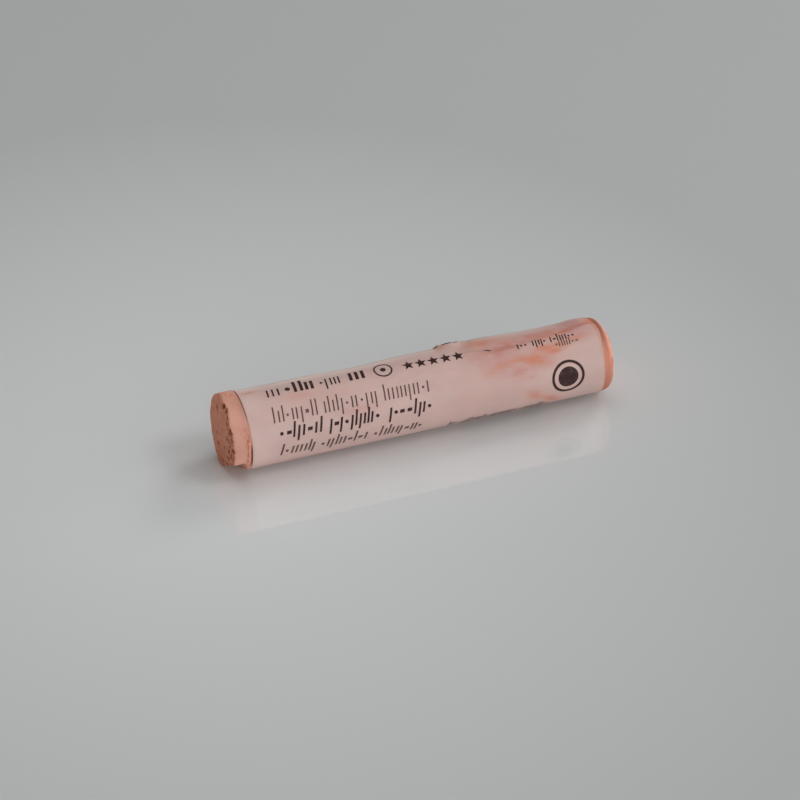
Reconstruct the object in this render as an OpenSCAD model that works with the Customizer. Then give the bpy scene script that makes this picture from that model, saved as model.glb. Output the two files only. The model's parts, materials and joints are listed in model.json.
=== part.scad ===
// Used soft pastel stick, still in its rolled paper label.
// It lies along X with the broken end towards -X, and rests on z = 0.
// Angles round the stick are counted from the front (-Y) up over the top (+Z).

/* [Stick] */
// Diameter of the pressed stick
stick_d = 11; // [8:0.5:16]
// Bare pastel between the label and the break
stub_len = 2.85; // [2.4:0.05:6]
// Bare pastel beyond the label at the far end
tail_len = 1.55; // [0.8:0.05:4]
// Rounding of the rubbed edge at the far end
tail_round = 0.9; // [0.3:0.1:1.5]
// Slant of the rubbed part of the far end, in degrees
tail_slant = 8; // [4:1:14]
// How far the far end stays square past its middle
tail_square = 0.3; // [0:0.1:1]
// Direction that the slant faces, in degrees
tail_facing = 146; // [100:1:170]

/* [Break] */
// Lean of the break away from square, in degrees
break_lean = 2; // [0:0.5:6]
// Height of the lump left standing low on the break
break_lump = 0.35; // [0:0.05:0.6]
// Height of the crumbs on the break
crumb_h = 0.13; // [0.04:0.01:0.2]
// Rounding-off of the break's rim
rim_h = 0.08; // [0.02:0.01:0.2]
// Depth of the chips out of the break's rim
chip_h = 0.5; // [0.1:0.05:0.8]

/* [Wear] */
// Depth of the flat drawn off the underside of the stub
wear_h = 1.05; // [0.4:0.05:1.6]
// Full round pastel left between the flat and the label
wear_land = 0.3; // [0.1:0.05:0.8]
// Length of the slope from the flat up to the full round
wear_ramp = 1; // [0.5:0.1:1.4]
// Direction that the flat faces, in degrees
wear_facing = -56; // [-75:1:-45]

/* [Label] */
// Length of the paper label
label_len = 54.6; // [45:0.2:70]
// Thickness of the paper
paper_t = 0.12; // [0.08:0.01:0.25]
// Air between the stick and the paper
stick_gap = 0.03; // [0.02:0.01:0.1]
// Where the outer turn of the paper ends, in degrees
lap_at = 140; // [132:1:150]

/* [Tear] */
// Length of the strip torn off the lap, from the far edge
tear_len = 19.4; // [12:0.2:30]
// Height to which the torn corner lifts
lip_h = 0.26; // [0.1:0.02:0.4]
// Length of the lifted corner along the stick
lip_len = 4.8; // [3:0.2:8]
// Width of the lifted corner round the stick, in degrees
lip_arc = 44; // [30:1:50]

/* [Hidden] */
$fn = 96;

stick_r = stick_d / 2;
bore_r = stick_r + stick_gap;
turn_r = bore_r + paper_t;
axis_z = turn_r;

// Point at radius r and angle a round a stick that lies along X
function round_at(x, r, a) = [x, -r * cos(a), r * sin(a)];

// The break is a surface over rings and spokes. It gives how far the pastel
// stands out of the label at each point. The last ring lies outside the stick,
// so the rim falls away towards it.
RING_AT = [0.22, 0.42, 0.6, 0.76, 0.9, 1.08];
SPOKES = 40;
LAST = len(RING_AT) - 1;
LUMP_AT = [0.62, -112];
LUMP_SPREAD = 0.45;
CRUMBS = rands(-1, 1, LAST * SPOKES, 7);
CHIPS = rands(0, 1, SPOKES, 23);
RIM_SHARE = (1 - RING_AT[LAST - 1]) / (RING_AT[LAST] - RING_AT[LAST - 1]);
function spoke(j) = j * 360 / SPOKES;
function lump(f, a) =
    let (dy = f * cos(a) - LUMP_AT[0] * cos(LUMP_AT[1]),
         dz = f * sin(a) - LUMP_AT[0] * sin(LUMP_AT[1]))
    break_lump * exp(-(dy * dy + dz * dz) / (LUMP_SPREAD * LUMP_SPREAD));
function lean(f, a) = stick_r * tan(break_lean) * f * (cos(a) + sin(a)) / sqrt(2);
function stub_at(i, j) =
    let (f = RING_AT[i], a = spoke(j))
    stub_len - lean(f, a) + lump(f, a) + crumb_h * CRUMBS[i * SPOKES + j];
function rim_fall(j) = (rim_h + chip_h * pow(CHIPS[j], 3)) / RIM_SHARE;
STUB_RINGS = [for (i = [0:LAST]) [for (j = [0:SPOKES - 1])
    i < LAST ? stub_at(i, j) : stub_at(LAST - 1, j) - rim_fall(j)]];
stub_reach = max([for (ring = STUB_RINGS) max(ring)]);
stub_clear = stub_reach + stick_r;

// Label edges, with the whole stick centred on x = 0
total_len = stub_reach + label_len + tail_len;
label_x0 = -total_len / 2 + stub_reach;
label_x1 = label_x0 + label_len;

// Torn edge of the lap: share of tear_len from the far edge, and angle
TEAR = [[0, 90], [0.17, 88], [0.27, 85.5], [0.44, 84.5], [0.57, 79], [0.69, 76.5], [0.8, 76],
        [0.89, 80], [0.96, 83], [1.05, 86], [1.035, 100], [1, 118], [0.99, lap_at + 4]];

// The lap is a second turn about a centre moved towards its end, so that it
// grows out of the first turn and is one paper thick at its end
LAP_OFF = 0.65 * paper_t;
lap_r = turn_r + paper_t - LAP_OFF;
function outer_r(a) = lap_r + LAP_OFF * cos(lap_at - a);

// Lifted corner of the lap, over steps along and round the stick
LIP_STEPS = 12;
LIP_SUNK = 0.4 * paper_t;
LIP_BACK = 2.5;
lip_x1 = label_x1 - tear_len;
function lip_x(u) = lip_x1 - lip_len * (1 - u);
function lip_angle(v) = lap_at - LIP_BACK - lip_arc * (1 - v);
function lip_rise(u, v) = (lip_h + LIP_SUNK) * sin(90 * min(u, 1)) * pow(sin(180 * v), 0.7) - LIP_SUNK;

// The air under it, which starts a little way in and opens at the tear
AIR_STEPS = 8;
AIR_FROM = 0.45;
AIR_SIDE = 0.16;
AIR_LEAST = 0.02;
function air_u(i) = AIR_FROM + (1.1 - AIR_FROM) * i / AIR_STEPS;
function air_v(k) = AIR_SIDE + (1 - 2 * AIR_SIDE) * k / AIR_STEPS;
function air_top(u, v) = max(outer_r(lip_angle(v)) + lip_rise(u, v) - paper_t, turn_r + 2 * AIR_LEAST);

module along_x(x0, x1) {
    translate([x0, 0, 0]) rotate([90, 0, 90]) linear_extrude(x1 - x0) children();
}

module pressed_bar() {
    rotate([0, 90, 0]) rotate_extrude() {
        translate([0, label_x0 - stub_clear]) square([stick_r, stub_clear + label_len]);
        translate([0, label_x1 - 1]) square([stick_r, 1 + tail_len - tail_round]);
        translate([0, label_x1 - 1]) square([stick_r - tail_round, 1 + tail_len]);
        translate([stick_r - tail_round, label_x1 + tail_len - tail_round]) circle(tail_round);
    }
}

// Everything beyond the break
module beyond_break() {
    heart = [label_x0 - stub_len, 0, 0];
    faces_out = [for (i = [0:LAST]) for (j = [0:SPOKES - 1])
        round_at(label_x0 - STUB_RINGS[i][j], RING_AT[i] * stick_r, spoke(j))];
    rim_r = RING_AT[LAST] * stick_r;
    back = [for (j = [0:SPOKES - 1]) round_at(label_x0 - stub_clear - 1, rim_r, spoke(j))];
    function at(i, j) = 1 + i * SPOKES + j % SPOKES;
    polyhedron(
        points = concat([heart], faces_out, back),
        faces = concat(
            [for (j = [0:SPOKES - 1]) [0, at(0, j), at(0, j + 1)]],
            [for (i = [0:LAST]) for (j = [0:SPOKES - 1]) [at(i, j), at(i + 1, j), at(i + 1, j + 1)]],
            [for (i = [0:LAST]) for (j = [0:SPOKES - 1]) [at(i, j), at(i + 1, j + 1), at(i, j + 1)]],
            [[for (j = [SPOKES - 1:-1:0]) at(LAST + 1, j)]]
        )
    );
}

// A profile in x and distance from the stick's axis, cut across one side
module side_cut(facing) {
    rotate([90 - facing, 0, 0]) rotate([90, 0, 0]) linear_extrude(3 * stick_r, center = true) children();
}

// What drawing on its side has taken off the stub
module drawn_off() {
    slope = wear_ramp / wear_h;
    side_cut(wear_facing) polygon([
        [label_x0 - stub_clear, stick_r + 1],
        [label_x0 - stub_clear, stick_r - wear_h],
        [label_x0 - wear_land - wear_ramp, stick_r - wear_h],
        [label_x0 - wear_land, stick_r],
        [label_x0 - wear_land + slope, stick_r + 1]
    ]);
}

// What is rubbed off the far end at a slant, which leaves it no square foot
module rubbed_off() {
    tail_x = label_x1 + tail_len;
    high = stick_r + 1;
    side_cut(tail_facing) polygon([
        [tail_x, tail_square],
        [tail_x - (high - tail_square) * tan(tail_slant), high],
        [tail_x + 1, high],
        [tail_x + 1, tail_square]
    ]);
}

module pastel_stick() {
    color([0.8, 0.53, 0.43]) translate([0, 0, axis_z]) difference() {
        pressed_bar();
        beyond_break();
        drawn_off();
        rubbed_off();
    }
}

// The second turn, which stops in a plane through the stick's axis
module lap_turn() {
    along_x(label_x0, label_x1) rotate(-lap_at) intersection() {
        translate([-LAP_OFF, 0]) circle(lap_r);
        translate([-2 * turn_r, -2 * turn_r]) square([4 * turn_r, 2 * turn_r]);
    }
}

// The strip that is missing from the lap, down into the first turn
module torn_strip() {
    difference() {
        linear_extrude(2 * turn_r) polygon(concat(
            [[label_x1 + 1, -turn_r * cos(TEAR[0][1])]],
            [for (p = TEAR) [label_x1 - p[0] * tear_len, -turn_r * cos(p[1])]],
            [[label_x1 - tear_len, 2 * turn_r], [label_x1 + 1, 2 * turn_r]]
        ));
        along_x(label_x0 - 1, label_x1 + 2) circle(turn_r - 0.4 * paper_t);
    }
}

// A curved slab between two square grids of points, the outer one first
module slab(outer, inner) {
    M = len(outer) - 1;
    N = M + 1;
    function o(i, k) = i * N + k;
    function n(i, k) = N * N + i * N + k;
    polyhedron(
        points = concat([for (row = outer) each row], [for (row = inner) each row]),
        faces = concat(
            [for (i = [0:M - 1]) for (k = [0:M - 1]) [o(i, k), o(i + 1, k + 1), o(i + 1, k)]],
            [for (i = [0:M - 1]) for (k = [0:M - 1]) [o(i, k), o(i, k + 1), o(i + 1, k + 1)]],
            [for (i = [0:M - 1]) for (k = [0:M - 1]) [n(i, k), n(i + 1, k), n(i + 1, k + 1)]],
            [for (i = [0:M - 1]) for (k = [0:M - 1]) [n(i, k), n(i + 1, k + 1), n(i, k + 1)]],
            [for (i = [0:M - 1]) [o(i, 0), o(i + 1, 0), n(i + 1, 0), n(i, 0)]],
            [for (i = [0:M - 1]) [o(i, M), n(i, M), n(i + 1, M), o(i + 1, M)]],
            [for (k = [0:M - 1]) [o(0, k), n(0, k), n(0, k + 1), o(0, k + 1)]],
            [for (k = [0:M - 1]) [o(M, k), o(M, k + 1), n(M, k + 1), n(M, k)]]
        )
    );
}

// The lap's corner beside the tear, curled up off the turn below it
module lifted_lip() {
    steps = [for (i = [0:LIP_STEPS]) i / LIP_STEPS];
    slab(
        [for (u = steps) [for (v = steps)
            round_at(lip_x(u), outer_r(lip_angle(v)) + lip_rise(u, v), lip_angle(v))]],
        [for (u = steps) [for (v = steps)
            round_at(lip_x(u), turn_r - 0.6 * paper_t, lip_angle(v))]]
    );
}

module air_under_lip() {
    steps = [0:AIR_STEPS];
    slab(
        [for (i = steps) [for (k = steps)
            round_at(lip_x(air_u(i)), air_top(air_u(i), air_v(k)), lip_angle(air_v(k)))]],
        [for (i = steps) [for (k = steps)
            round_at(lip_x(air_u(i)), turn_r + AIR_LEAST, lip_angle(air_v(k)))]]
    );
}

module paper_wrapper() {
    color([0.87, 0.74, 0.7]) translate([0, 0, axis_z]) difference() {
        union() {
            along_x(label_x0, label_x1) circle(turn_r);
            difference() {
                lap_turn();
                torn_strip();
            }
            lifted_lip();
        }
        air_under_lip();
        along_x(label_x0 - 1, label_x1 + 1) circle(bore_r);
    }
}

pastel_stick();
paper_wrapper();
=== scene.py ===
"""A used soft pastel stick in its rolled paper label, lying on a glossy sheet.

The stick lies along X with its broken end towards -X. Angles round it are in
degrees, from the front (-Y) up over the top, and s counts along the label from
its near edge. Lengths are in metres, unless a name or comment says otherwise.
"""
import json
import random
from math import atan2, cos, degrees, exp, pi, radians, sin, tan

import bmesh
import bpy
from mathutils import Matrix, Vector, noise


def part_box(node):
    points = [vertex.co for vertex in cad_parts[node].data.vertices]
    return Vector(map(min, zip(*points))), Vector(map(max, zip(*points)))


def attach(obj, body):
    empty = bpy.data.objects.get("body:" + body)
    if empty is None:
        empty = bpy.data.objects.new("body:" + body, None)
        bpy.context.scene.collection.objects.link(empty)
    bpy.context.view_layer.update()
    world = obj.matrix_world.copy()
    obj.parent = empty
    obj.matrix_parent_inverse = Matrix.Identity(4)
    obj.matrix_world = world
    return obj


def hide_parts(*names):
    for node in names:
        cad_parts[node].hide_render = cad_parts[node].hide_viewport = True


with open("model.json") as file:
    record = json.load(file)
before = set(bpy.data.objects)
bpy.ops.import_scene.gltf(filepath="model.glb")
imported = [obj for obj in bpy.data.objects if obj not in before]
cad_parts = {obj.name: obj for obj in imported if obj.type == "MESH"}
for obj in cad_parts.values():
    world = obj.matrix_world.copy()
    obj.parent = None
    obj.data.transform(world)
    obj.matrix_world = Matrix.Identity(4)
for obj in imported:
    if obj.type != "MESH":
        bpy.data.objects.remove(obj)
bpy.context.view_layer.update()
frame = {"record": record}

MM = 0.001


# ---------------------------------------------------------------- the sheet
# The stick lies on a plain sheet of pale grey glossy board. Its polish gives a soft mirror image, and its
# colour the whole of the background. Its colour also holds a painted pool of light: paler round the stick,
# darker further out.
SHEET_SIDE = 3
SHEET_PAINTED_LIGHT_MIDDLE, SHEET_PAINTED_DIM_EDGE = (0.785, 0.797, 0.793, 1), (0.545, 0.553, 0.55, 1)


def deselect_all():
    if bpy.context.object and bpy.context.object.mode != "OBJECT":
        bpy.ops.object.mode_set(mode="OBJECT")
    bpy.ops.object.select_all(action="DESELECT")


def node_adder(tree):
    """A function that adds a node to the tree, with its settings, and its inputs linked or set.
    An input goes by its name, or by its number, such as i6, where several share a name."""
    def add(kind, settings=None, **inputs):
        node = tree.nodes.new(kind)
        for key, value in (settings or {}).items():
            setattr(node, key, value)
        for key, value in inputs.items():
            numbered = key[0] == "i" and key[1:].isdigit()
            socket = node.inputs[int(key[1:]) if numbered else key.replace("_", " ")]
            if hasattr(value, "is_output"):
                tree.links.new(value, socket)
            else:
                socket.default_value = value
        return node

    return add


def new_material(name):
    """A material with its Principled shader, and functions that add and link its nodes."""
    material = bpy.data.materials.new(name)
    material.use_nodes = True
    tree = material.node_tree
    return material, tree.nodes["Principled BSDF"], node_adder(tree), tree.links.new


def set_tones(ramp, *tones):
    """Gives a colour ramp its first tones, each a position and a colour."""
    for element, (position, colour) in zip(ramp.color_ramp.elements, tones):
        element.position, element.color = position, colour


deselect_all()
bpy.ops.mesh.primitive_plane_add(size=SHEET_SIDE, location=(0, 0, 0))
sheet = bpy.context.object
sheet.name = "glossy_sheet"
sheet_finish, shader, add, link = new_material("glossy pale board")
shader.inputs["Roughness"].default_value = 0.05
shader.inputs["IOR"].default_value = 1.85
place = add("ShaderNodeTexCoord").outputs["Object"]
# Painted light: the base colour is paler near the stick and darker away from it, as a near lamp would light
# it.
moved = add("ShaderNodeMapping", Vector=place, Location=(0.032, -0.004, 0)).outputs["Vector"]
out_from_middle = add("ShaderNodeVectorMath", {"operation": "LENGTH"}, i0=moved).outputs["Value"]
painted_light_falloff = add("ShaderNodeMapRange", Value=out_from_middle, From_Min=0.01, From_Max=0.1)
painted_light_pool = add("ShaderNodeValToRGB", Fac=painted_light_falloff.outputs["Result"])
set_tones(painted_light_pool, (0, SHEET_PAINTED_LIGHT_MIDDLE), (1, SHEET_PAINTED_DIM_EDGE))
link(painted_light_pool.outputs["Color"], shader.inputs["Base Color"])
unevenness = add("ShaderNodeTexNoise", Vector=place, Scale=9.0, Detail=2.0)
bump = add("ShaderNodeBump", Height=unevenness.outputs["Fac"], Strength=0.05, Distance=0.002)
link(bump.outputs["Normal"], shader.inputs["Normal"])
sheet.data.materials.append(sheet_finish)


# ----------------------------------------------------- the camera and the light
# The camera stands well above the stick and to its left, and some way off. The
# room is pale and soft, with three windows.
label_lo, label_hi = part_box("paper_wrapper")
label_x0, label_x1 = label_lo.x, label_hi.x
axis_z = frame["record"]["mounts"][0]["pos_m"][2]

VIEW_TURN = radians(20.45)
VIEW_DOWN = radians(35.7)
VIEW_DISTANCE = 349.5 * MM
ahead = Vector((sin(VIEW_TURN) * cos(VIEW_DOWN), cos(VIEW_TURN) * cos(VIEW_DOWN), -sin(VIEW_DOWN)))
upward = Vector((sin(VIEW_TURN) * sin(VIEW_DOWN), cos(VIEW_TURN) * sin(VIEW_DOWN), cos(VIEW_DOWN)))
looked_at = Vector((label_x0 + 24.21 * MM, 0, axis_z)) - 0.53 * MM * upward
camera_data = bpy.data.cameras.new("camera")
camera_data.lens = 108
camera_data.sensor_width = 36
camera = bpy.data.objects.new("camera", camera_data)
camera.location = looked_at - VIEW_DISTANCE * ahead
camera.rotation_euler = ahead.to_track_quat("-Z", "Y").to_euler()
bpy.context.scene.collection.objects.link(camera)
bpy.context.scene.camera = camera


def soft_lamp(name, at, size, watts):
    """A round lamp that faces the stick."""
    data = bpy.data.lights.new(name, "AREA")
    data.shape, data.size, data.energy = "DISK", size, watts
    lamp = bpy.data.objects.new(name, data)
    lamp.location = at
    lamp.rotation_euler = (-Vector(at)).to_track_quat("-Z", "Y").to_euler()
    bpy.context.scene.collection.objects.link(lamp)
    return lamp


# A broad window is overhead, a smaller one behind to the right, kept out of the
# sheet's mirror image, and a small one in front to the right.
soft_lamp("high_window", (0.0, 0.1, 1.0), 1.0, 2.6)
rear_window = soft_lamp("rear_window", (0.66, 0.40, 0.55), 0.4, 1.9)
rear_window.visible_glossy = False
soft_lamp("side_window", (0.44, -0.30, 0.60), 0.3, 1.0)

# The room's back wall is bright at its foot and dim above. Its front gives low
# light, more of it from the right.
BACK_WALL = [
    # height of a direction, and the strength there
    (0.0, 1.35), (0.12, 1.35), (0.3, 0.05), (0.64, 0.05), (0.85, 0.3),
]
room = bpy.data.worlds.new("room light")
room.use_nodes = True
add = node_adder(room.node_tree)
direction = add("ShaderNodeSeparateXYZ", i0=add("ShaderNodeTexCoord").outputs["Generated"]).outputs
back_wall = add("ShaderNodeValToRGB", Fac=direction["Z"])
back_wall.color_ramp.elements.remove(back_wall.color_ramp.elements[1])
for position, strength in BACK_WALL:
    stop = back_wall.color_ramp.elements.new(position) if position else back_wall.color_ramp.elements[0]
    stop.color = (strength, strength, strength, 1)
is_behind = add("ShaderNodeMapRange", Value=direction["Y"], From_Min=-0.1, From_Max=0.4)
sideways = add(
    "ShaderNodeMapRange", Value=direction["X"], From_Min=-0.7, From_Max=0.9, To_Min=0.05, To_Max=1.7
).outputs["Result"]
low_light = add(
    "ShaderNodeMapRange", Value=direction["Z"], From_Min=0.2, From_Max=0.6, To_Min=2.7, To_Max=0.05
).outputs["Result"]
front_light = add("ShaderNodeMath", {"operation": "MULTIPLY"}, i0=sideways, i1=low_light).outputs[0]
room_strength = add(
    "ShaderNodeMix", Factor=is_behind.outputs["Result"], i2=front_light, i3=back_wall.outputs["Color"]
)
background = room.node_tree.nodes["Background"]
background.inputs["Color"].default_value = (0.97, 0.99, 1, 1)
room.node_tree.links.new(room_strength.outputs[0], background.inputs["Strength"])
bpy.context.scene.world = room
bpy.context.scene.view_settings.view_transform = "Standard"


# ---------------------------------------------------------- the pastel stick
# Pressed pigment and chalk with hardly any binder, dead matt. It snapped across at the near end, where the
# break is coarse and full of pits, and has been drawn flat underneath. The far end is rubbed round and at a
# slant. Its pits, the gap under the paper's mouth and the underside of the far end are darkened with painted
# shade.
STICK_R = 5.5 * MM
STUB_LEN = 2.85 * MM
TAIL_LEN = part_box("pastel_stick")[1].x - label_x1
TAIL_ROUND = 0.9 * MM
TAIL_FACING, TAIL_SLANT, TAIL_SQUARE = 146, radians(8), 0.3 * MM
WEAR_FACING, WEAR_DEPTH, WEAR_LAND, WEAR_RAMP = -56, 1.05 * MM, 0.3 * MM, 1 * MM
FACE_RINGS, STUB_RINGS, TAIL_RINGS, FAR_FACE_RINGS, ROUNDS = 44, 34, 12, 26, 240

# The stick is spun with stations for x, and each station becomes a true place after:
# -1 to 0 along the stub, then millimetres under the label, and 50 to 51 along the far end
AT_BREAK, FAR_END, FAR_FACE = -1, 50, 51


def make_active(piece):
    deselect_all()
    bpy.context.view_layer.objects.active = piece
    piece.select_set(True)


def facing(angle):
    """The way out of the stick at an angle."""
    return Vector((0, -cos(radians(angle)), sin(radians(angle))))


def smooth(low, high, value):
    t = min(1, max(0, (value - low) / (high - low)))
    return t * t * (3 - 2 * t)


def bulge(value, middle, reach):
    return exp(-(((value - middle) / reach) ** 2))


def hit(across, up, at_r, at_angle, spread):
    """A soft spot on the break, round a point given by its radius and angle."""
    dy = across - at_r * cos(radians(at_angle))
    dz = up - at_r * sin(radians(at_angle))
    return exp(-(dy * dy + dz * dz) / (spread * spread))


BREAK_LEAN = radians(2)
BREAK_SHAPES = [
    # height of a hump or dip of the break in millimetres, its radius in stick radii, angle, spread
    (0.3, 0.62, -108, 0.45), (0.22, 0.95, 135, 0.3), (-0.26, 1.0, 74, 0.17),
]
HOLLOWS = [
    # places where grains have fallen out: towards the front, up, and radius, in millimetres
    (0.4, 5.1, 0.5), (1.4, 4.9, 0.4), (2.2, 4.5, 0.35), (2.4, 3.3, 0.5), (3.6, 3.0, 0.5),
    (3.2, 2.3, 0.3), (4.5, 1.9, 0.45), (2.2, 0.7, 0.45), (3.1, 0.9, 0.4), (3.5, 0.2, 0.35),
    (4.7, 0.4, 0.45), (3.0, -0.9, 0.45), (4.1, -1.0, 0.45), (2.6, -2.2, 0.4), (3.6, -2.4, 0.45),
    (-1.2, -2.2, 0.42), (-2.1, -1.0, 0.35), (2.4, -3.6, 0.4), (0.9, -3.9, 0.35), (-1.8, 3.5, 0.4),
    (-4.4, -2.6, 0.3), (4.9, -1.9, 0.35), (4.2, 3.0, 0.3), (1.2, -1.4, 0.25),
]
PIT_DEPTH, RIM_CHIP, RIM_DROP = 0.19 * MM, 0.22 * MM, 0.5 * MM


def pitting(across, up, broken_up, frontal):
    """How deep the pitting of the break is at a place, by the hollows and by finer grains that have gone. The
    same amount darkens the hollows with painted shade.
    """
    radius, turn = Vector((across, up)).length, atan2(up, across)
    ragged = noise.fractal(Vector((across, up, 0)) * 14 + Vector((0, 5, 0)), 0.8, 2.1, 3)
    pit = 0
    for hollow_across, hollow_up, hollow_r in HOLLOWS:
        way = Vector((across, up)) * STICK_R / MM - Vector((hollow_across, hollow_up))
        pit = max(pit, smooth(1.0, 0.5, way.length / hollow_r + 0.6 * ragged))
    grains = noise.voronoi(Vector((radius * 17 + turn * 2, turn * 10, 3)))[0][0]
    coarse = smooth(0.15, 0.55, broken_up + 0.3 * ragged)
    return max(pit, 0.85 * smooth(0.42, 0.2, grains) * coarse * frontal)


def stands_out(across, up):
    """How far the broken face stands out of the label, how deep its pitting is there, which also sets the
    painted shade in its hollows, and how coarse it is.
    across and up are places on the face, in stick radii, towards the front and the top."""
    here = Vector((across, up, 0))
    radius, turn = here.length, atan2(up, across)
    to_rim = smooth(0.86, 1, radius)
    out = STUB_LEN - STICK_R * tan(BREAK_LEAN) * (across + up) / 2 ** 0.5
    for height, at_r, at_angle, spread in BREAK_SHAPES:
        out += height * MM * hit(across, up, at_r, at_angle, spread)
    out -= RIM_DROP * to_rim * hit(across, up, 1.0, 120, 0.5)
    out += 0.07 * MM * noise.fractal(here * 2.6 + Vector((0, 0, 8)), 0.9, 2.1, 3)
    edge = smooth(0.5, 0.92, radius)
    frontal = smooth(-0.45, 0.3, across - 0.1 * up)
    broken_up = min(1, edge * frontal + 0.55 * hit(across, up, 0.75, -80, 0.5) + 0.12)
    out += (0.015 + 0.04 * broken_up) * MM * noise.fractal(here * 8, 0.9, 2.1, 5)
    pit = pitting(across, up, broken_up, frontal)
    out -= PIT_DEPTH * pit
    chip = noise.fractal(Vector((turn * 4.6, 1, 0)), 0.8, 2.3, 4)
    out -= RIM_CHIP * to_rim * (0.1 + 0.9 * frontal) * chip
    return out, pit, broken_up


def flare(angle, station):
    """Growth of the stub over its true round, where crumbs are pressed on along its upper side."""
    return 0.08 * bulge(angle, 124, 30) * smooth(0, -0.12, station) + 0.008


def face_point(place, across, up, radius, angle):
    """A point of the broken face: its x and place, how broken and crumbly it is, and how much painted shade
    darkens its pits.
    """
    out, pit, _ = stands_out(across, up)
    to_rim = smooth(0.955, 1, radius)
    place *= 1 + flare(angle, AT_BREAK) * radius ** 4 - 0.012 * to_rim
    loose = 0.25 * smooth(0.2, 0.6, noise.noise(Vector((across, up, 0)) * 6))
    crumb = loose + 0.6 * hit(across, up, 0.85, -95, 0.4)
    return label_x0 - (out - 0.05 * MM * to_rim), place, (1, pit, crumb)


def stub_point(station, place, across, up, angle):
    """A point of the stub's side: its x and place, how broken and crumbly it is, and how much painted shade
    darkens its pits and the gap under the paper's mouth. The paper's mouth stands off it low on the front,
    and crumbs cling to it in two bands."""
    out, pit, broken_up = stands_out(across, up)
    near_rim = smooth(-0.88, -1, station)
    bite = noise.fractal(Vector((across, up, 0)) * 11 + Vector((0, 0, 9)), 0.9, 2, 4)
    place *= 1 + flare(angle, station) - near_rim * (0.012 + 0.022 * bite * (0.3 + 0.7 * broken_up))
    scuff = noise.fractal(Vector((station * 5, across * 9, up * 9)), 0.9, 2, 4)
    in_mouth = smooth(-0.16 + 0.04 * scuff, -0.05, station)
    mouth = in_mouth * smooth(16, 5, angle) * smooth(-36, -22, angle)
    brim = 0.011 * smooth(-0.3, -0.07, station) * smooth(0, -0.035, station) * smooth(120, 50, angle)
    place *= 1 + brim - 0.03 * mouth
    top_crumbs = bulge(angle, 104, 20) * smooth(0.02, -0.1, station)
    low_crumbs = bulge(station, -0.19, 0.13) * smooth(-50, -25, angle) * smooth(48, 30, angle)
    dashes = noise.noise(Vector((station * 11 + angle * 0.06, angle * 0.17, 4)))
    crumb = 0.6 * top_crumbs * smooth(-0.2, 0.3, scuff) + 1.2 * low_crumbs * smooth(-0.05, 0.2, dashes)
    crumb = min(1, crumb)
    place *= 1 + 0.011 * crumb + 0.0012 * noise.noise(Vector((station * 2, across * 3, up * 3)))
    broken = smooth(-0.95, -0.99, station + 0.06 * bite)
    # The gap under the paper's mouth is darkened with painted shade.
    pit = pit * smooth(-0.97, -1, station) + 0.5 * mouth + 0.3 * low_crumbs * smooth(0, 0.25, dashes)
    return label_x0 + station * out, place, (broken, pit, crumb)


def far_end_point(station, place, across, up, angle):
    """A point of the far end: its x and place, how broken and crumbly it is, and how much it is darkened, in
    scuffs and by painted shade on its underside.
    """
    drop = max(0, place.dot(facing(TAIL_FACING)) - TAIL_SQUARE) * tan(TAIL_SLANT) / TAIL_LEN
    lumps = 0.05 * noise.fractal(Vector((across * 4, up * 4, 5)), 0.9, 2, 4)
    x = label_x1 + (station - FAR_END) * TAIL_LEN * (1 - drop) * (1 - abs(lumps))
    scuff = noise.fractal(Vector((station * 9, across * 7, up * 7)), 0.9, 2, 4)
    place *= 1 - 0.008 * max(0, scuff) * smooth(50.3, 50.9, station)
    place *= 1 + 0.085 * bulge(angle, 80, 34) * smooth(50.0, 50.6, station)
    # Painted shade: the far end is darker on its underside.
    underside_shade = smooth(30, -20, angle) * smooth(-120, -80, angle)
    pit = 0.45 * smooth(0.25, 0.5, scuff) * smooth(50.4, 50.9, station) + 0.36 * underside_shade
    return x, place, (0, pit, 0.25 + 0.6 * smooth(-0.1, 0.4, scuff))


def drawn_flat(x, place):
    """A place on the stub, brought in to the flat that drawing has left underneath."""
    ramp = smooth(0, 1, (label_x0 - WEAR_LAND - x) / WEAR_RAMP)
    beyond = place.dot(facing(WEAR_FACING)) - (STICK_R - WEAR_DEPTH * ramp)
    if beyond > 0 and ramp > 0:
        place -= facing(WEAR_FACING) * beyond
    return place


profile = [(AT_BREAK, STICK_R * (k + 0.001) / FACE_RINGS) for k in range(FACE_RINGS)]
profile += [(AT_BREAK + k / STUB_RINGS, STICK_R) for k in range(STUB_RINGS + 1)]
profile += [(4, STICK_R), (20, STICK_R)]
profile += [(FAR_END + k / TAIL_RINGS * (1 - TAIL_ROUND / TAIL_LEN), STICK_R) for k in range(TAIL_RINGS)]
for k in range(11):
    short, inward = 1 - sin(radians(k * 9)), 1 - cos(radians(k * 9))
    profile.append((FAR_FACE - short * TAIL_ROUND / TAIL_LEN, STICK_R - TAIL_ROUND * inward))
far_rim = STICK_R - TAIL_ROUND
profile += [(FAR_FACE, far_rim * (1 - k / FAR_FACE_RINGS)) for k in range(1, FAR_FACE_RINGS)]
profile.append((FAR_FACE, 0.001 * MM))
mesh = bpy.data.meshes.new("pastel")
mesh.from_pydata([(x, -r, axis_z) for x, r in profile], [(i, i + 1) for i in range(len(profile) - 1)], [])
pastel = bpy.data.objects.new("pastel_broken", mesh)
bpy.context.scene.collection.objects.link(pastel)
make_active(pastel)
bpy.ops.object.mode_set(mode="EDIT")
bpy.ops.mesh.select_all(action="SELECT")
bpy.ops.mesh.spin(steps=ROUNDS, angle=2 * pi, center=(0, 0, axis_z), axis=(1, 0, 0))
bpy.ops.mesh.select_all(action="SELECT")
bpy.ops.mesh.remove_doubles(threshold=0.004 * MM)
bpy.ops.mesh.normals_make_consistent(inside=False)
bpy.ops.object.mode_set(mode="OBJECT")

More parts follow.
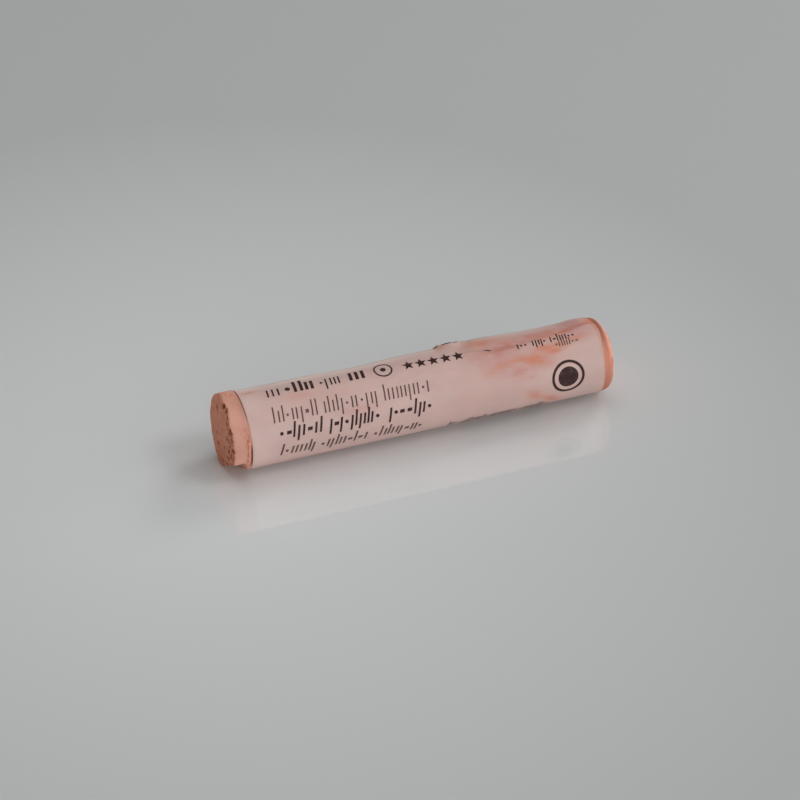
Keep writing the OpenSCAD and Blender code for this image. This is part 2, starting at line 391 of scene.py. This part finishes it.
PASTEL_LOOKS = ("broken", "pitted", "crumbly")
for kind in PASTEL_LOOKS:
    mesh.attributes.new(kind, "FLOAT", "POINT")
for vertex in mesh.vertices:
    station, place = vertex.co.x, Vector((0, vertex.co.y, vertex.co.z - axis_z))
    across, up = -place.y / STICK_R, place.z / STICK_R
    radius, angle = place.length / STICK_R, degrees(atan2(up, across))
    if station < AT_BREAK + 0.001:
        x, place, looks = face_point(place, across, up, radius, angle)
    elif station < 0.01:
        x, place, looks = stub_point(station, place, across, up, angle)
    elif station < FAR_END - 1:
        x, looks = label_x0 + station * MM, (0, 0, 0)
    else:
        x, place, looks = far_end_point(station, place, across, up, angle)
    place = drawn_flat(x, place)
    for kind, value in zip(PASTEL_LOOKS, looks):
        mesh.attributes[kind].data[vertex.index].value = value
    vertex.co = Vector((x, place.y, place.z + axis_z))
make_active(pastel)
bpy.ops.object.shade_smooth_by_angle(angle=radians(40))

SIDE_DARK, SIDE_PALE = (0.60, 0.295, 0.225, 1), (0.70, 0.355, 0.275, 1)
BREAK_DARK, BREAK_PALE = (0.73, 0.28, 0.175, 1), (0.93, 0.405, 0.27, 1)
CRUMB_COLOUR, PAINTED_SHADE_COLOUR = (0.66, 0.235, 0.14, 1), (0.24, 0.065, 0.035, 1)
MIX_COLOUR = {"data_type": "RGBA"}
chalk, shader, add, link = new_material("pressed pastel")
place = add("ShaderNodeTexCoord").outputs["Object"]
is_broken, painted_shade_amount, is_crumbly = (
    add("ShaderNodeAttribute", {"attribute_name": kind}).outputs["Fac"] for kind in PASTEL_LOOKS
)
powder = add("ShaderNodeTexNoise", Vector=place, Scale=1400.0, Detail=6.0, Roughness=0.7)
clouds = add("ShaderNodeTexNoise", Vector=place, Scale=190.0, Detail=3.0)
side = add("ShaderNodeValToRGB", Fac=clouds.outputs["Fac"])
set_tones(side, (0.35, SIDE_DARK), (0.68, SIDE_PALE))
face = add("ShaderNodeValToRGB", Fac=powder.outputs["Fac"])
set_tones(face, (0.34, BREAK_DARK), (0.66, BREAK_PALE))
skin = add("ShaderNodeMix", MIX_COLOUR, Factor=is_broken, i6=side.outputs["Color"], i7=face.outputs["Color"])
crumbs = add("ShaderNodeMix", MIX_COLOUR, Factor=is_crumbly, i6=skin.outputs[2], i7=CRUMB_COLOUR)
# Painted shade darkens the pits, the gap under the paper's mouth and the underside of the far end.
dark = add("ShaderNodeMix", MIX_COLOUR, Factor=painted_shade_amount, i6=crumbs.outputs[2], i7=PAINTED_SHADE_COLOUR)
link(dark.outputs[2], shader.inputs["Base Color"])
shader.inputs["Roughness"].default_value = 0.95
shader.inputs["Specular IOR Level"].default_value = 0.15
bump = add("ShaderNodeBump", Height=powder.outputs["Fac"], Strength=0.35, Distance=0.00012)
link(bump.outputs["Normal"], shader.inputs["Normal"])
mesh.materials.append(chalk)
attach(pastel, "root")
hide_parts("pastel_stick")


# ----------------------------------------------------------- the paper label
# One strip of thin satin paper, rolled round the stick a little more than once
# and glued to itself. Its outer margin is torn off along the far half, and the
# corner beside the tear curls up, grimy at its edge.
LABEL_LEN = label_x1 - label_x0
PAPER = 0.12 * MM
TURN_R = axis_z
INNER_END, LAP_END, LAP_SLOPE = 65, 140, 27
TEAR_S = LABEL_LEN - 20.37 * MM
TEAR = [
    # s in millimetres, and the angle that the lap is torn along there
    (0, 86), (33, 86), (34.2, 85.5), (36, 83.2), (37.3, 80), (39.1, 76), (41.2, 76.4), (43.5, 79),
    (46.1, 84.5), (49.4, 85.5), (51.3, 88), (54.6, 90),
]
LIP_LEN, LIP_ARC, LIP_FROM, LIP_RISE = 3.8 * MM, 44, 93.5, 0.24 * MM
TEAR_REACH = 1.2 * MM
COLUMNS, TURN_ROWS, MARGIN_ROWS, LAP_ROWS = 190, 144, 8, 24
ROWS = TURN_ROWS + MARGIN_ROWS + LAP_ROWS
TEAR_COLUMN = round(TEAR_S / LABEL_LEN * COLUMNS)


def round_at(x, r, angle):
    return Vector((x, -r * cos(radians(angle)), axis_z + r * sin(radians(angle))))


def tear_angle(s):
    """Where the lap is torn along, at s."""
    s = min(max(s / MM, 0), TEAR[-1][0])
    for (s0, a0), (s1, a1) in zip(TEAR, TEAR[1:]):
        if s <= s1:
            break
    along = a0 + (a1 - a0) * smooth(s0, s1, s)
    return along + 0.9 * noise.fractal(Vector((s * 1.7, 2, 0)), 0.8, 2.2, 4)


def layer(angle):
    """0 on the first turn of the paper, 1 on the lap, with the climb between them.
    Angles of the lap count on past 360."""
    return smooth(INNER_END - LAP_SLOPE, INNER_END, angle - 360)


def seen_at(angle):
    """The angle round the stick, from -125 to 235, of either turn."""
    return angle - 360 if angle > 235 else angle


def swell(s, angle):
    """Slack and dents of the paper, the same for both turns."""
    s, seen = s / MM, seen_at(angle)
    here = Vector((s * 0.11, 1.6 * cos(radians(angle)), 1.6 * sin(radians(angle))))
    fine = Vector((s * 0.35, 3 * cos(radians(angle)), 3 * sin(radians(angle))))
    by_the_tear = (0.21 + 0.12 * smooth(35.1, 36.3, s)) * smooth(30.2, 31, s) * smooth(46, 36.5, s)
    far_edge = 0.28 * smooth(49, 52.5, s) - 0.14 * smooth(53, 54.6, s)
    near_edge = 0.09 * smooth(4, 0, s)
    dent = 0.2 * bulge(s, 17.5, 4.5) * bulge(seen, 122, 24)
    slack = by_the_tear * bulge(seen, 124, 20)
    slack += far_edge * bulge(seen, 108, 24) - dent
    slack += near_edge * bulge(seen, 118, 26)
    return MM * (0.02 + slack + 0.025 * noise.noise(here) + 0.012 * noise.noise(fine))


def curl(s, angle):
    """The lifted corner beside the tear."""
    u = (s - TEAR_S + LIP_LEN) / (2.3 * MM)
    v = (angle - 360 - LIP_FROM) / LIP_ARC
    if u <= 0 or not 0 < v < 1:
        return 0
    settled = 1 - 0.5 * smooth(TEAR_S - 1.4 * MM, TEAR_S, s)
    return LIP_RISE * sin(radians(90 * min(u, 1))) * sin(pi * v) ** 0.7 * settled


def paper_r(s, angle):
    """How far the paper's face lies from the stick's axis."""
    return TURN_R - 0.03 * MM + layer(angle) * PAPER + swell(s, angle) + curl(s, angle)


def strip_point(column, row):
    """The s and angle of a point of the strip, which has rows of its own up to the torn margin."""
    if column <= TEAR_COLUMN:
        s = TEAR_S * column / TEAR_COLUMN
    else:
        s = TEAR_S + (LABEL_LEN - TEAR_S) * (column - TEAR_COLUMN) / (COLUMNS - TEAR_COLUMN)
    tear = tear_angle(s)
    if row <= TURN_ROWS:
        angle = INNER_END + 360 * row / TURN_ROWS
    elif row <= TURN_ROWS + MARGIN_ROWS:
        angle = 360 + INNER_END + (tear - INNER_END) * (row - TURN_ROWS) / MARGIN_ROWS
    else:
        angle = 360 + tear + (LAP_END - tear) * (row - TURN_ROWS - MARGIN_ROWS) / LAP_ROWS
        near_tear = smooth(6 * MM, 0, TEAR_S - s) if s <= TEAR_S else 0
        s += TEAR_REACH * near_tear * smooth(0, 45, angle - 360 - tear)
        s += 0.12 * MM * smooth(0.5 * MM, 0, TEAR_S - s) * noise.noise(Vector((angle * 0.35, 7, 0)))
    drawn_back = 0.22 * bulge(angle, 360, 55) + 0.4 * bulge(angle, 120, 14)
    drawn_back -= 0.25 * (bulge(angle, 434, 16) + bulge(angle, 74, 16))
    return s - drawn_back * MM * smooth(50 * MM, LABEL_LEN, s), angle


deselect_all()
bpy.ops.mesh.primitive_grid_add(x_subdivisions=COLUMNS, y_subdivisions=ROWS, size=2, location=(0, 0, 0))
label = bpy.context.object
label.name = "paper_label"
mesh = label.data
bm = bmesh.new()
bm.from_mesh(mesh)
column_of, row_of = {}, {}
for vert in bm.verts:
    column_of[vert] = round((vert.co.x + 1) / 2 * COLUMNS)
    row_of[vert] = round((vert.co.y + 1) / 2 * ROWS)
torn_off = []
for face in bm.faces:
    past_tear = min(column_of[vert] for vert in face.verts) >= TEAR_COLUMN
    if past_tear and min(row_of[vert] for vert in face.verts) >= TURN_ROWS + MARGIN_ROWS:
        torn_off.append(face)
for vert in bm.verts:
    s, angle = strip_point(column_of[vert], row_of[vert])
    vert.co = Vector((s, radians(angle) * TURN_R, 0))
bmesh.ops.delete(bm, geom=torn_off, context="FACES")
bm.to_mesh(mesh)
bm.free()

# Marks on the paper, each with its s, angle, half length, half width, strength and lean
MARKS = {
    # orange chalk
    "soil": [
        (37.6, 45.5, 1.6, 0.55, 0.5, 0.25), (40.5, 52, 2.2, 0.7, 0.5, 0.05),
        (43.4, 50.5, 2.2, 0.7, 0.55, -0.05), (44.2, 44, 1.6, 0.8, 0.6, -0.1),
        (45.2, 62.5, 1.3, 0.55, 0.75, 0.1), (47.2, 57, 1.6, 0.7, 0.7, 0.15),
        (48.5, 63, 2.2, 0.8, 0.45, 0.1), (50.5, 66, 1.4, 0.6, 0.4, 0), (52.6, 70, 1.2, 0.5, 0.4, 0),
        (36.3, 101, 2.3, 1.5, 0.62, -0.1), (40, 96, 3, 1.2, 0.35, -0.1), (46.5, 86, 2.4, 0.6, 0.5, 0.05),
        (49, 83, 1.8, 0.4, 0.45, 0.15), (43.2, -8, 1.3, 1.0, 0.65, -0.3), (46, -25, 1.5, 1.1, 0.75, -0.5),
        (54.2, 100, 0.7, 1.6, 0.8, 0), (8.8, 71, 2.6, 0.7, 0.35, 0), (1.6, 98, 1.4, 0.5, 0.5, 0),
        (17, 30, 2.4, 0.6, 0.25, 0), (54.5, 40, 0.25, 12, 0.6, 0), (0.1, 20, 0.14, 9, 0.35, 0),
        (31.6, 111, 1, 0.8, 0.45, 0),
    ],
    # pink chalk, rubbed in thinly
    "blush": [
        (52.6, 91, 2.2, 0.35, 0.7, 0.15), (50.2, 86, 1.6, 0.3, 0.55, 0.25), (38.5, 78, 2.6, 0.8, 0.45, 0),
        (41, 80, 3.5, 0.8, 0.35, 0.05), (45, 90, 5, 0.9, 0.3, 0), (48, 97, 5, 1.6, 0.35, 0.05),
        (52, 103, 2.5, 1.6, 0.45, 0), (41.5, 29, 2.2, 0.8, 0.3, -0.3), (44, 38, 3, 0.9, 0.3, 0),
        (39, 62, 4, 2.2, 0.3, 0), (50, 78, 4, 1.2, 0.35, 0), (35.5, 70, 2, 1.4, 0.25, 0),
        (8, -44, 9, 0.7, 0.35, 0), (15, 31.8, 3.4, 0.6, 0.25, 0), (12, 61, 6, 0.8, 0.15, 0),
        (42, 50, 8, 4.5, 0.22, 0), (34, 12, 6, 2.2, 0.12, 0),
    ],
    # places where the paper is cleaner and paler, and a painted sheen high along the back near the broken end
    "pale": [
        (0.8, 100, 2.4, 3.4, 0.8, 0), (0.8, -15, 2.4, 3.6, 0.8, 0), (33.4, 107, 0.8, 0.5, 0.8, 0),
        # painted sheen: paler high along the back near the broken end
        (19, 113, 9, 1.2, 0.9, 0), (8, 110, 5, 1, 0.7, 0), (34, 105, 0.5, 0.9, 0.5, 0),
        (45, 20, 4, 1.5, 0.4, 0),
    ],
    # dark dirt beside the lifted corner, and a thin dark line of painted shade along the top outline
    "grime": [
        (32.8, 120.5, 1.5, 0.4, 0.65, 0.05), (36.5, 122, 2.6, 0.35, 0.5, 0), (42, 122, 5, 0.5, 0.3, 0),
        (50, 121, 4, 0.45, 0.25, 0), (34.3, 99, 0.9, 0.9, 0.14, 0.3), (33.9, 88, 0.7, 1.0, 0.12, 0.8),
        # painted shade: a thin dark line along the top outline
        (5, 120, 4, 0.4, 0.26, 0), (16, 120, 9, 0.4, 0.3, 0), (26, 119, 5, 0.4, 0.3, 0),
    ],
}


def amount_at(s, angle, marks):
    """How much of the listed marks lies at a place."""
    total = 0
    for at_s, at_angle, long, wide, strength, lean in marks:
        ds = s / MM - at_s
        da = radians(angle - at_angle) * TURN_R / MM - lean * ds
        total += strength * exp(-((ds / long) ** 2) - (da / wide) ** 2)
    return total


def thinning(s, angle):
    """0 on whole paper, 1 at the torn edges, where the tear has left it thin."""
    if angle <= 400:
        return 0
    if s >= TEAR_S:
        return smooth(3, 0, 360 + tear_angle(s) - angle)
    above_tear = smooth(0, 8, angle - 360 - tear_angle(s))
    lap_edge = TEAR_S + TEAR_REACH * smooth(0, 45, angle - 360 - TEAR[0][1])
    return above_tear * smooth(0.3 * MM, 0, lap_edge - s)


for kind in MARKS:
    mesh.attributes.new(kind, "FLOAT", "POINT")
for vertex in mesh.vertices:
    s, angle = vertex.co.x, degrees(vertex.co.y / TURN_R)
    amounts = {kind: amount_at(s, seen_at(angle), marks) for kind, marks in MARKS.items()}
    thinned = thinning(s, angle)
    # A darker line along the torn edge of the margin: painted shade of the step there, with dirt in the edge.
    if s >= TEAR_S and angle < 360.5 + tear_angle(s):
        amounts["grime"] += 0.14 * thinned * (1 + smooth(40 * MM, 37 * MM, s))
    for kind, amount in amounts.items():
        mesh.attributes[kind].data[vertex.index].value = min(1, amount)
    vertex.co = round_at(label_x0 + s, paper_r(s, angle) - 0.05 * MM * thinned, angle)
    vertex.co.z = max(0, vertex.co.z)  # it rests on the sheet
make_active(label)
thickness = label.modifiers.new("paper thickness", "SOLIDIFY")
thickness.thickness = 0.105 * MM
thickness.offset = -1
bpy.ops.object.modifier_apply(modifier=thickness.name)
bpy.ops.object.shade_smooth_by_angle(angle=radians(35))

PAPER_DARK, PAPER_PALE = (0.55, 0.372, 0.343, 1), (0.62, 0.422, 0.376, 1)
PAPER_CLEAN_SHEEN = (0.67, 0.485, 0.435, 1)
PINK_CHALK, ORANGE_CHALK, DIRT_AND_SHADE = (0.52, 0.225, 0.185, 1), (0.59, 0.225, 0.145, 1), (0.12, 0.07, 0.045, 1)
SATIN_ROUGHNESS, CHALK_ROUGHNESS = 0.42, 0.85
MULTIPLY_ADD = {"operation": "MULTIPLY_ADD"}
satin, shader, add, link = new_material("satin label paper")
place = add("ShaderNodeTexCoord").outputs["Object"]
dusted, rubbed, clean_and_sheen_amount, grime_and_shade_amount = (
    add("ShaderNodeAttribute", {"attribute_name": kind}).outputs["Fac"] for kind in MARKS
)
stretch = add("ShaderNodeMapping", Vector=place, Scale=(0.5, 1, 1)).outputs["Vector"]
blotch = add("ShaderNodeTexNoise", Vector=stretch, Scale=950.0, Detail=5.0, Roughness=0.62)
haze = add("ShaderNodeTexNoise", Vector=place, Scale=210.0, Detail=5.0)
fibre = add("ShaderNodeTexNoise", Vector=stretch, Scale=2600.0, Detail=3.0)
blotchy = add("ShaderNodeMath", MULTIPLY_ADD, i0=blotch.outputs["Fac"], i1=0.45, i2=0.05)
mottled = add("ShaderNodeMath", MULTIPLY_ADD, i0=haze.outputs["Fac"], i1=0.5, i2=blotchy.outputs[0])
base = add("ShaderNodeValToRGB", Fac=mottled.outputs[0])
set_tones(base, (0.37, PAPER_DARK), (0.67, PAPER_PALE))
# Cleaner paper, and a painted sheen high along the back near the broken end.
clean_and_sheen_mix = add("ShaderNodeMix", MIX_COLOUR, Factor=clean_and_sheen_amount, i6=base.outputs["Color"], i7=PAPER_CLEAN_SHEEN)
grain = add("ShaderNodeMath", MULTIPLY_ADD, i0=blotch.outputs["Fac"], i1=2.8, i2=-0.4)


def chalk_over(under, amount, colour):
    """Chalk rubbed into the paper, uneven where there is little of it."""
    laid = add("ShaderNodeMath", {"operation": "MULTIPLY", "use_clamp": True}, i0=grain.outputs[0], i1=amount)
    return add("ShaderNodeMix", MIX_COLOUR, Factor=laid.outputs[0], i6=under, i7=colour).outputs[2]


dusty = chalk_over(chalk_over(clean_and_sheen_mix.outputs[2], rubbed, PINK_CHALK), dusted, ORANGE_CHALK)
# Dirt, and painted shade along the top outline and along the torn edge.
dirt_and_shade_mix = add("ShaderNodeMix", MIX_COLOUR, Factor=grime_and_shade_amount, i6=dusty, i7=DIRT_AND_SHADE)
link(dirt_and_shade_mix.outputs[2], shader.inputs["Base Color"])
chalky = add("ShaderNodeMath", {"operation": "MAXIMUM"}, i0=dusted, i1=rubbed)
sheen = add("ShaderNodeMapRange", Value=chalky.outputs[0], To_Min=SATIN_ROUGHNESS, To_Max=CHALK_ROUGHNESS)
link(sheen.outputs[0], shader.inputs["Roughness"])
shader.inputs["Specular IOR Level"].default_value = 0.42
bump = add("ShaderNodeBump", Height=fibre.outputs["Fac"], Strength=0.12, Distance=0.00005)
link(bump.outputs["Normal"], shader.inputs["Normal"])
mesh.materials.append(satin)
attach(label, "root")
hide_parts("paper_wrapper")


# ------------------------------------------------------ crumbs on the paper
# Specks of pastel dust and dirt that have been pressed into the lifted corner
# and the torn edge, and stick there.
CRUMBS = [
    # s, angle, half length, half width, half height, lean, darkness
    (30.95, 118.5, 0.42, 0.34, 0.14, 0.1, 0.1), (32.6, 119, 0.8, 0.19, 0.09, 0.2, 1.0),
    (34.2, 120.5, 0.75, 0.13, 0.07, 0.15, 0.85), (35.2, 121.5, 0.15, 0.14, 0.07, 0, 0.75),
    (31.9, 118.2, 0.2, 0.13, 0.06, 0, 0.8), (37.3, 79.6, 0.44, 0.14, 0.05, -0.55, 1.0),
    (37.75, 77.6, 0.2, 0.1, 0.05, -0.4, 0.6),
]


def face_angle(s, angle):
    """The angle of the paper that lies outermost there, past 360 where it is the lap."""
    on_lap = angle > INNER_END - LAP_SLOPE and (s < TEAR_S or angle < tear_angle(s))
    return angle + 360 if on_lap else angle


flecks = []
for at_s, at_angle, long, wide, high, lean, darkness in CRUMBS:
    deselect_all()
    bpy.ops.mesh.primitive_ico_sphere_add(subdivisions=3, radius=1, location=(0, 0, 0))
    fleck = bpy.context.object
    dark_share = fleck.data.attributes.new("darkness", "FLOAT", "POINT")
    for vertex in fleck.data.vertices:
        rough = 1 + 0.3 * noise.fractal(vertex.co * 1.6 + Vector((at_s, 0, 0)), 0.9, 2, 3)
        ds, da, up = vertex.co.x * long * rough, vertex.co.y * wide * rough, vertex.co.z * high * rough
        s = (at_s + ds) * MM
        angle = at_angle + degrees((da + lean * ds) * MM / TURN_R)
        dark_share.data[vertex.index].value = darkness
        vertex.co = round_at(label_x0 + s, paper_r(s, face_angle(s, angle)) + up * MM, angle)
    flecks.append(fleck)
stuck = flecks[0]
make_active(stuck)
for fleck in flecks:
    fleck.select_set(True)
bpy.ops.object.join()
stuck.name = "stuck_crumbs"
bpy.ops.object.shade_smooth()

CRUMB_PALE, CRUMB_DARK = (0.36, 0.24, 0.125, 1), (0.085, 0.04, 0.028, 1)
dirt_finish, shader, add, link = new_material("crumbs and dirt")
place = add("ShaderNodeTexCoord").outputs["Object"]
how_dark = add("ShaderNodeAttribute", {"attribute_name": "darkness"}).outputs["Fac"]
uneven = add("ShaderNodeTexNoise", Vector=place, Scale=5000.0, Detail=3.0)
varied = add("ShaderNodeMath", MULTIPLY_ADD, i0=uneven.outputs["Fac"], i1=0.5, i2=-0.25)
shade = add("ShaderNodeMath", {"operation": "ADD", "use_clamp": True}, i0=how_dark, i1=varied.outputs[0])
tone = add("ShaderNodeValToRGB", Fac=shade.outputs[0])
set_tones(tone, (0, CRUMB_PALE), (1, CRUMB_DARK))
link(tone.outputs["Color"], shader.inputs["Base Color"])
shader.inputs["Roughness"].default_value = 0.9
stuck.data.materials.append(dirt_finish)
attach(stuck, "root")


# ----------------------------------------------------------------- the print
# Dark brown and grey-brown ink, printed flat on the paper before it is rolled:
# a row of marks with a ring and five stars, three rows of strokes, a roundel
# and fine print. Each mark is a thin skin of ink that follows the paper.
INK = 0.012 * MM
DEGREES_PER_MM = 180 / pi / (TURN_R / MM)
CUT_STEP = 0.33


def ink_skin(name, outlines):
    """Flat marks, each an outer and an inner outline of (s, angle) points, made one thin piece on the paper.
    The inner outline may be None, and s is in millimetres."""
    bm = bmesh.new()
    for outer, inner in outlines:
        rings = []
        for loop in (outer, inner):
            if loop:
                verts = [bm.verts.new((s, radians(angle) * TURN_R / MM, 0)) for s, angle in loop]
                pairs = zip(verts, verts[1:] + verts[:1])
                rings.append([bm.edges.new(pair) for pair in pairs])
        if inner:
            bmesh.ops.bridge_loops(bm, edges=rings[0] + rings[1])
        else:
            bmesh.ops.contextual_create(bm, geom=rings[0])
    reach = max(abs(vert.co.y) for vert in bm.verts)
    for k in range(int(-reach / CUT_STEP) - 1, int(reach / CUT_STEP) + 2):
        everything, cut_at = bm.verts[:] + bm.edges[:] + bm.faces[:], (0, k * CUT_STEP, 0)
        bmesh.ops.bisect_plane(bm, geom=everything, plane_co=cut_at, plane_no=(0, 1, 0), dist=1e-5)
    bmesh.ops.triangulate(bm, faces=bm.faces[:])
    bmesh.ops.recalc_face_normals(bm, faces=bm.faces[:])
    for face in bm.faces:
        if face.normal.z < 0:
            face.normal_flip()
    mesh = bpy.data.meshes.new(name)
    bm.to_mesh(mesh)
    bm.free()
    for vertex in mesh.vertices:
        s, angle = vertex.co.x * MM, degrees(vertex.co.y * MM / TURN_R)
        vertex.co = round_at(label_x0 + s, paper_r(s, face_angle(s, angle)) + INK, angle)
    piece = bpy.data.objects.new(name, mesh)
    bpy.context.scene.collection.objects.link(piece)
    make_active(piece)
    skin = piece.modifiers.new("ink", "SOLIDIFY")
    skin.thickness = 1.6 * INK
    skin.offset = -1
    bpy.ops.object.modifier_apply(modifier=skin.name)
    return piece


def bar(s, angle, wide, tall, lean=0.0):
    """An upright stroke of that width and height, its foot at s and angle, leaning along s."""
    top, shift, steps = angle + tall * DEGREES_PER_MM, lean * tall, 6
    left = [(s + shift * k / steps, angle + (top - angle) * k / steps) for k in range(steps + 1)]
    right = [(a + wide, b) for a, b in reversed(left)]
    return left + right, None


def circle(s, angle, radius, steps):
    """Points round a place on the paper."""
    turns = [2 * pi * k / steps for k in range(steps)]
    return [(s + radius * cos(turn), angle + radius * DEGREES_PER_MM * sin(turn)) for turn in turns]


def ring(s, angle, radius, wide, steps=40):
    return circle(s, angle, radius, steps), circle(s, angle, radius - wide, steps)


def disc(s, angle, radius, steps=32):
    return circle(s, angle, radius, steps), None


def star(s, angle, radius):
    points = []
    for k in range(10):
        r = radius * (1 if k % 2 == 0 else 0.42)
        a = pi / 2 + k * pi / 5
        points.append((s + r * cos(a), angle + r * DEGREES_PER_MM * sin(a)))
    return points, None


def row(angle, fall=0.0):
    """The line that a row of print stands on: its angle, which falls evenly along the label."""
    return lambda s: angle - fall * (s - 4)


def strokes(start, end, foot, wide, tall, pitch, lean, chance):
    """A group of strokes of uneven height with a few dots and dashes, which spells nothing."""
    marks = []
    s = start
    while s + wide <= end:
        pick = chance.random()
        middle = s + 0.5 * lean * tall
        if pick < 0.13:
            marks.append(disc(middle + 0.9 * wide, foot(s) + 0.5 * tall * DEGREES_PER_MM, 0.85 * wide, 14))
            s += 0.9 * wide
        elif pick < 0.26:
            at_angle = foot(s) + 0.34 * tall * DEGREES_PER_MM
            marks.append(bar(middle, at_angle, 2.2 * wide, 0.32 * tall, lean))
            s += 1.3 * wide
        elif pick < 0.38:
            at_angle = foot(s) - 0.4 * tall * DEGREES_PER_MM
            marks.append(bar(s - 0.4 * lean * tall, at_angle, wide, 1.4 * tall, lean))
        else:
            marks.append(bar(s, foot(s), wide, tall * (1.42 if pick > 0.8 else 1.0), lean))
        s += pitch * (0.85 + 0.3 * chance.random())
    return marks


TOP_ROW, GREY_ROW, DARK_ROW, LOW_ROW = row(78.5, 0.11), row(37.5, 0.1), row(12.5, 0.28), row(-16.5, 0.4)
FINE_ROW, SMALL_ROW = row(69.5), row(60)
chance = random.Random(5)

dark_marks = strokes(3.8, 5.8, TOP_ROW, 0.26, 1.5, 0.72, 0.1, chance)
dark_marks += strokes(6.5, 11.2, TOP_ROW, 0.46, 1.75, 0.88, 0.1, chance)
dark_marks += strokes(11.7, 15.0, TOP_ROW, 0.24, 1.5, 0.66, 0.1, chance)
dark_marks += [bar(16.1 + 0.92 * k, TOP_ROW(16.1), 0.5, 1.75, 0.1) for k in range(3)]
dark_marks += [ring(21.4, 85.5, 1.4, 0.24), disc(21.4, 85.5, 0.42)]
dark_marks += [star(25.2 + 1.9 * k, 83.5 - 0.7 * k, 0.95) for k in range(5)]
for start, end in ((4.0, 10.5), (11.5, 19.6), (20.5, 27.3)):
    dark_marks += strokes(start, end, DARK_ROW, 0.32, 1.6, 0.64, 0.2, chance)
dark_marks += [ring(48.5, 11.6, 2.6, 0.42, 56), disc(48.5, 11.6, 1.6, 40)]
for start, end in ((41.8, 43.6), (44.2, 46.4), (47.0, 51.0)):
    dark_marks += strokes(start, end, FINE_ROW, 0.2, 0.95, 0.42, 0.1, chance)
for angle, start, end in ((-43, 30, 46), (-60, 32.7, 45.6)):
    dark_marks += strokes(start, end, row(angle), 0.2, 1.0, 0.4, 0.15, chance)

grey_marks = []
for start, end in ((3.6, 10.4), (11.2, 19.2), (20.2, 27.5)):
    grey_marks += strokes(start, end, GREY_ROW, 0.22, 1.65, 0.66, 0.08, chance)
for start, end in ((4.0, 9.4), (10.0, 17.2), (18.0, 25.8)):
    grey_marks += strokes(start, end, LOW_ROW, 0.3, 1.4, 0.62, 0.25, chance)
grey_marks += strokes(47.5, 51.2, SMALL_ROW, 0.18, 0.8, 0.42, 0.1, chance)

# Both inks have worn thin in the same specks
ink_wear = bpy.data.node_groups.new("ink wear", "ShaderNodeTree")
ink_wear.interface.new_socket("Place", in_out="INPUT", socket_type="NodeSocketVector")
ink_wear.interface.new_socket("Worn", in_out="OUTPUT", socket_type="NodeSocketFloat")
add = node_adder(ink_wear)
specks = add("ShaderNodeTexNoise", Vector=add("NodeGroupInput").outputs["Place"], Scale=1300.0, Detail=3.0)
worn = add("ShaderNodeMapRange", Value=specks.outputs["Fac"], From_Min=0.45, From_Max=0.75)
ink_wear.links.new(worn.outputs["Result"], ink_wear.nodes.new("NodeGroupOutput").inputs["Worn"])

DARK_BROWN = (0.035, 0.014, 0.012, 1), (0.075, 0.035, 0.03, 1)
GREY_BROWN = (0.105, 0.06, 0.05, 1), (0.19, 0.11, 0.095, 1)
for marks, piece_name, ink_name, (full, faded) in (
    (dark_marks, "print_dark", "dark brown ink", DARK_BROWN),
    (grey_marks, "print_grey", "grey brown ink", GREY_BROWN),
):
    piece = ink_skin(piece_name, marks)
    ink, shader, add, link = new_material(ink_name)
    wear = add("ShaderNodeGroup", {"node_tree": ink_wear}, Place=add("ShaderNodeTexCoord").outputs["Object"])
    tone = add("ShaderNodeMix", MIX_COLOUR, Factor=wear.outputs["Worn"], i6=full, i7=faded)
    link(tone.outputs[2], shader.inputs["Base Color"])
    shader.inputs["Roughness"].default_value = 0.6
    shader.inputs["Specular IOR Level"].default_value = 0.2
    piece.data.materials.append(ink)
    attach(piece, "root")
